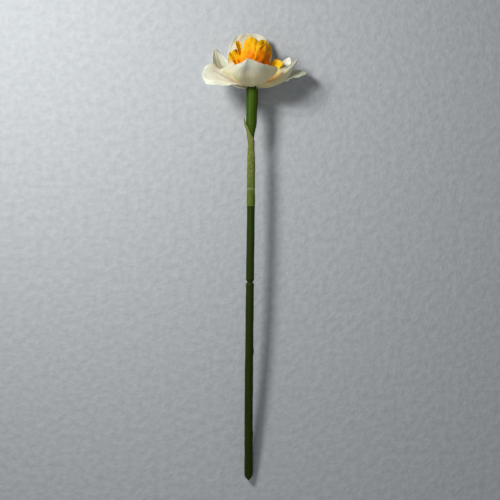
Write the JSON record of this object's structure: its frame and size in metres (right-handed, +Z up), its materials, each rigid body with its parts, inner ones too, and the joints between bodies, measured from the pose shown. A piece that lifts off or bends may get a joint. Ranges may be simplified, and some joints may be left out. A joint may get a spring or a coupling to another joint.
{
  "type": "narcissus flower",
  "caption": "Cut narcissus lying down: arched green stem with a papery sheath, spreading cream tepals and a ruffled orange-yellow corona.",
  "frame": {"origin": "on the surface the flower lies on, under the middle of its whole length and width", "axes": "+Y along the stem from the cut end to the flower head, +Z up from the surface, +X to the right of the head as seen from above"},
  "size_m": [0.0896, 0.3874, 0.0662],
  "materials": {
    "stem": "waxy dark green plant skin",
    "flower_stalk": "smooth mid green plant skin",
    "sheath": "dry papery olive",
    "tepal": "soft cream petal, finely veined",
    "corona": "soft orange-yellow petal, deeper at the foot"
  },
  "bodies": {
    "root": {"stem": "stem", "flower_stalk": "flower_stalk", "sheath": "sheath", "tepal_front": "tepal", "tepal_left": "tepal", "tepal_left_low": "tepal", "tepal_back": "tepal", "tepal_right": "tepal", "tepal_right_front": "tepal", "inner_tepal": "tepal", "corona": "corona"}
  },
  "joints": []
}
